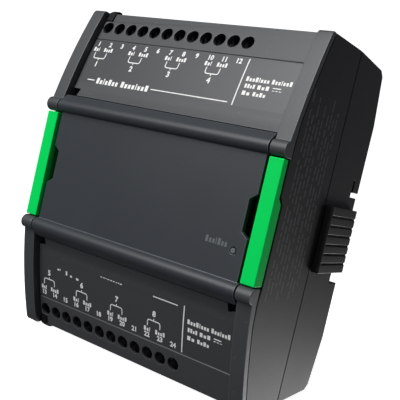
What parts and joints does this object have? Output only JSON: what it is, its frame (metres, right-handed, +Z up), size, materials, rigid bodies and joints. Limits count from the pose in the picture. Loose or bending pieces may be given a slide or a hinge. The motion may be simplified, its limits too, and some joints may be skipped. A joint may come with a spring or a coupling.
{
  "type": "plc module",
  "caption": "Rail-mounted output module: sloping terminal doors above and below a centre panel, green release handles, screw terminals and a ribbed bus connector cap on its base.",
  "frame": {"origin": "centre of the rail seat, the flat floor of the recess in the back of the base that rests on the front of the 35 mm rail", "axes": "+X to the right seen from the front, +Y back towards the rail and wall, +Z up along the wall; the handles and doors face -Y"},
  "size_m": [0.0928, 0.0653, 0.114],
  "materials": {
    "charcoal_plastic": "fine moulded grain, satin",
    "panel_plastic": "fine moulded grain, satin",
    "black_plastic": "moulded grain, matt",
    "green_plastic": "satin",
    "connector_plastic": "matt",
    "zinc_plated_steel": "bright zinc",
    "circuit_laminate": "solder resist",
    "component_resin": "moulded resin",
    "capacitor_can": "drawn can",
    "clear_plastic": "clear",
    "white_print": "pad print"
  },
  "bodies": {
    "module": {"front_frame": "charcoal_plastic", "centre_panel": "panel_plastic", "upper_left_hinge_pin": "zinc_plated_steel", "upper_right_hinge_pin": "zinc_plated_steel", "lower_left_hinge_pin": "zinc_plated_steel", "lower_right_hinge_pin": "zinc_plated_steel", "module_housing": "black_plastic", "upper_terminal_block": "connector_plastic", "lower_terminal_block": "connector_plastic", "terminal_screw_01": "zinc_plated_steel", "terminal_screw_02": "zinc_plated_steel", "terminal_screw_03": "zinc_plated_steel", "terminal_screw_04": "zinc_plated_steel", "terminal_screw_05": "zinc_plated_steel", "terminal_screw_06": "zinc_plated_steel", "terminal_screw_07": "zinc_plated_steel", "terminal_screw_08": "zinc_plated_steel", "terminal_screw_09": "zinc_plated_steel", "terminal_screw_10": "zinc_plated_steel", "terminal_screw_11": "zinc_plated_steel", "terminal_screw_12": "zinc_plated_steel", "terminal_screw_13": "zinc_plated_steel", "terminal_screw_14": "zinc_plated_steel", "terminal_screw_15": "zinc_plated_steel", "terminal_screw_16": "zinc_plated_steel", "terminal_screw_17": "zinc_plated_steel", "terminal_screw_18": "zinc_plated_steel", "terminal_screw_19": "zinc_plated_steel", "terminal_screw_20": "zinc_plated_steel", "terminal_screw_21": "zinc_plated_steel", "terminal_screw_22": "zinc_plated_steel", "terminal_screw_23": "zinc_plated_steel", "terminal_screw_24": "zinc_plated_steel", "main_board": "circuit_laminate", "processor_chip": "component_resin", "driver_chip_upper": "component_resin", "driver_chip_lower": "component_resin", "isolating_converter": "component_resin", "capacitor_upper": "capacitor_can", "capacitor_lower": "capacitor_can", "status_lamp": "clear_plastic", "status_light_pipe": "clear_plastic", "board_plug": "connector_plastic", "terminal_base": "black_plastic", "din_clip_spring": "zinc_plated_steel", "right_bus_connector": "connector_plastic", "left_bus_connector": "connector_plastic", "base_board": "circuit_laminate", "base_socket": "connector_plastic", "base_board_screw_upper": "zinc_plated_steel", "base_board_screw_lower": "zinc_plated_steel"},
    "upper_door": {"upper_door": "charcoal_plastic"},
    "lower_door": {"lower_door": "charcoal_plastic"},
    "left_handle": {"left_release_handle": "green_plastic"},
    "right_handle": {"right_release_handle": "green_plastic"},
    "rail_clip": {"din_clip": "black_plastic"},
    "connector_cap": {"bus_connector_cap": "black_plastic"}
  },
  "joints": [
    {"name": "upper_door_hinge", "type": "hinge", "parent": "module", "child": "upper_door", "pos_m": [0, -0.0503, 0.0274], "axis": [1, 0, 0], "range_deg": [0, 105]},
    {"name": "lower_door_hinge", "type": "hinge", "parent": "module", "child": "lower_door", "pos_m": [0, -0.0503, -0.0274], "axis": [-1, 0, 0], "range_deg": [0, 105]},
    {"name": "left_handle_slide", "type": "slide", "parent": "module", "child": "left_handle", "axis": [0, -1, 0], "range_m": [0, 0.006]},
    {"name": "right_handle_slide", "type": "slide", "parent": "module", "child": "right_handle", "axis": [0, -1, 0], "range_m": [0, 0.006]},
    {"name": "rail_clip_slide", "type": "slide", "parent": "module", "child": "rail_clip", "axis": [0, 0, -1], "range_m": [0, 0.004], "stiffness_N_per_m": 500, "springref_m": -0.004, "deforming": ["din_clip_spring"]},
    {"name": "cap_slide", "type": "slide", "parent": "module", "child": "connector_cap", "axis": [1, 0, 0], "range_m": [0, 0.012]}
  ]
}
